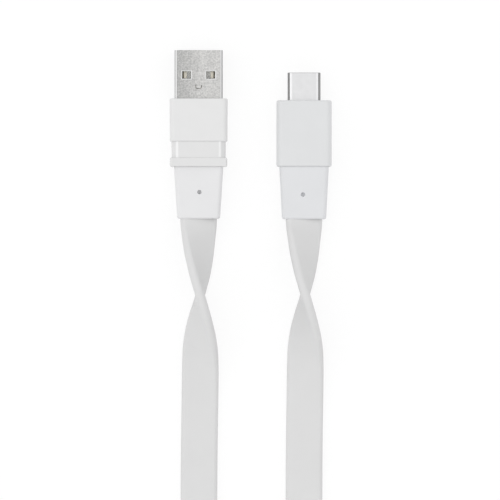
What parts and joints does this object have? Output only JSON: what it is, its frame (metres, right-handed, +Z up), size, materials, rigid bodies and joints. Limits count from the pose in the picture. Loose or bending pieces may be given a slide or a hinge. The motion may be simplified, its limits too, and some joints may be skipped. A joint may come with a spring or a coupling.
{
  "type": "charging cable",
  "caption": "Flat ribbon charging cable with a USB-A plug at one end and a USB-C plug at the other, its spare length wound into a tied hank.",
  "frame": {"origin": "on the table, under the middle of the common box of the two plugs", "axes": "+Y out of both plugs' mouths, +X from the USB-A plug to the USB-C plug, +Z up off the table"},
  "size_m": [0.0594, 0.3098, 0.0122],
  "materials": {
    "tinned_steel": "satin tin plate, fine blotchy grain",
    "polished_steel": "bright nickel plate",
    "tongue_white": "moulded, satin",
    "core_black": "moulded, satin",
    "gold_plate": "flash gold",
    "solder": "dull solder",
    "inner_mould": "natural polyethylene",
    "cover_white": "satin white",
    "cover_cool_white": "satin white, slightly cooler",
    "boot_white": "soft satin white",
    "boot_cool_white": "soft satin white, slightly cooler",
    "board_green": "solder mask",
    "cord_jacket": "matte white elastomer",
    "tie_strap": "hook and loop strap",
    "wire_red": "wire insulation",
    "wire_white": "wire insulation",
    "wire_green": "wire insulation",
    "wire_black": "wire insulation"
  },
  "bodies": {
    "root": {"cable_tie": "tie_strap", "cord_a_run": "cord_jacket", "cord_c_run": "cord_jacket", "cord_hank": "cord_jacket", "usb_a_contact_dminus": "gold_plate", "usb_a_contact_dplus": "gold_plate", "usb_a_contact_gnd": "gold_plate", "usb_a_contact_vbus": "gold_plate", "usb_a_cover": "cover_white", "usb_a_crimp_collar": "tinned_steel", "usb_a_inner_mould": "inner_mould", "usb_a_insulator": "tongue_white", "usb_a_rear_block": "tongue_white", "usb_a_rear_collar": "cover_white", "usb_a_shell": "tinned_steel", "usb_a_solder_joints": "solder", "usb_a_strain_relief": "boot_white", "usb_a_wire_dminus": "wire_white", "usb_a_wire_dplus": "wire_green", "usb_a_wire_gnd": "wire_black", "usb_a_wire_vbus": "wire_red", "usb_c_board": "board_green", "usb_c_contacts_lower": "gold_plate", "usb_c_contacts_upper": "gold_plate", "usb_c_cover": "cover_cool_white", "usb_c_crimp_collar": "tinned_steel", "usb_c_grounding_springs": "polished_steel", "usb_c_inner_mould": "inner_mould", "usb_c_insulator": "core_black", "usb_c_latch": "polished_steel", "usb_c_resistor": "core_black", "usb_c_shell": "polished_steel", "usb_c_shield_can": "tinned_steel", "usb_c_solder_joints": "solder", "usb_c_strain_relief": "boot_cool_white", "usb_c_wire_dminus": "wire_white", "usb_c_wire_dplus": "wire_green", "usb_c_wire_gnd": "wire_black", "usb_c_wire_vbus": "wire_red"}
  },
  "joints": []
}
